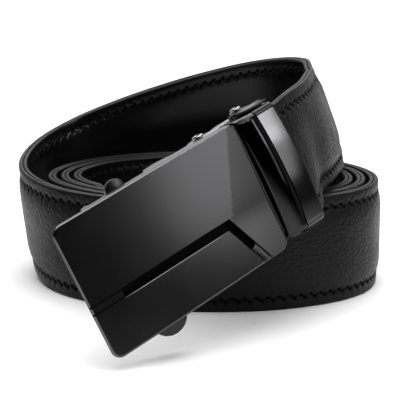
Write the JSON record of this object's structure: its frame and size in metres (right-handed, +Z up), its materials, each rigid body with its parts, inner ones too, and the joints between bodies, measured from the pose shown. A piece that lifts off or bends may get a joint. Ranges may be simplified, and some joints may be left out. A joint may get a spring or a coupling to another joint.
{
  "type": "ratchet belt",
  "caption": "Rolled leather ratchet belt standing on its edge, with a slotted rectangular automatic buckle, side release tabs, a strap clamp and a toothed track.",
  "frame": {"origin": "middle of the belt's bounding box, on the table", "axes": "+Z up, -Y towards the viewer of the rolled belt, +X to that viewer's right"},
  "size_m": [0.123, 0.173, 0.0712],
  "materials": {
    "face_leather": "black pebbled grain leather, soft sheen",
    "lining_leather": "smooth black leather, slightly glossy",
    "track_nylon": "moulded black nylon",
    "plate_metal": "satin gunmetal",
    "frame_metal": "satin grey plated alloy",
    "pin_metal": "bright riveted steel",
    "hood_metal": "glossy black plating"
  },
  "bodies": {
    "strap": {"strap_face": "face_leather", "strap_lining": "lining_leather", "ratchet_track": "track_nylon", "clamp_hood": "hood_metal", "clamp_jaw": "frame_metal", "clamp_pin": "pin_metal"},
    "buckle": {"face_plate": "plate_metal", "buckle_frame": "frame_metal", "lever_pin": "pin_metal"},
    "lever": {"release_lever": "frame_metal"}
  },
  "joints": [
    {"name": "buckle_swivel", "type": "hinge", "parent": "strap", "child": "buckle", "pos_m": [0.02021, -0.03554, 0.04577], "axis": [0.4311, 0.0123, -0.9022], "range_deg": [0, 12]},
    {"name": "lever_release", "type": "hinge", "parent": "buckle", "child": "lever", "pos_m": [0.00873, -0.04554, 0.04014], "axis": [0.4311, 0.0123, -0.9022], "range_deg": [0, 10], "stiffness_Nm_per_rad": 0.05, "springref_deg": -5.73}
  ]
}
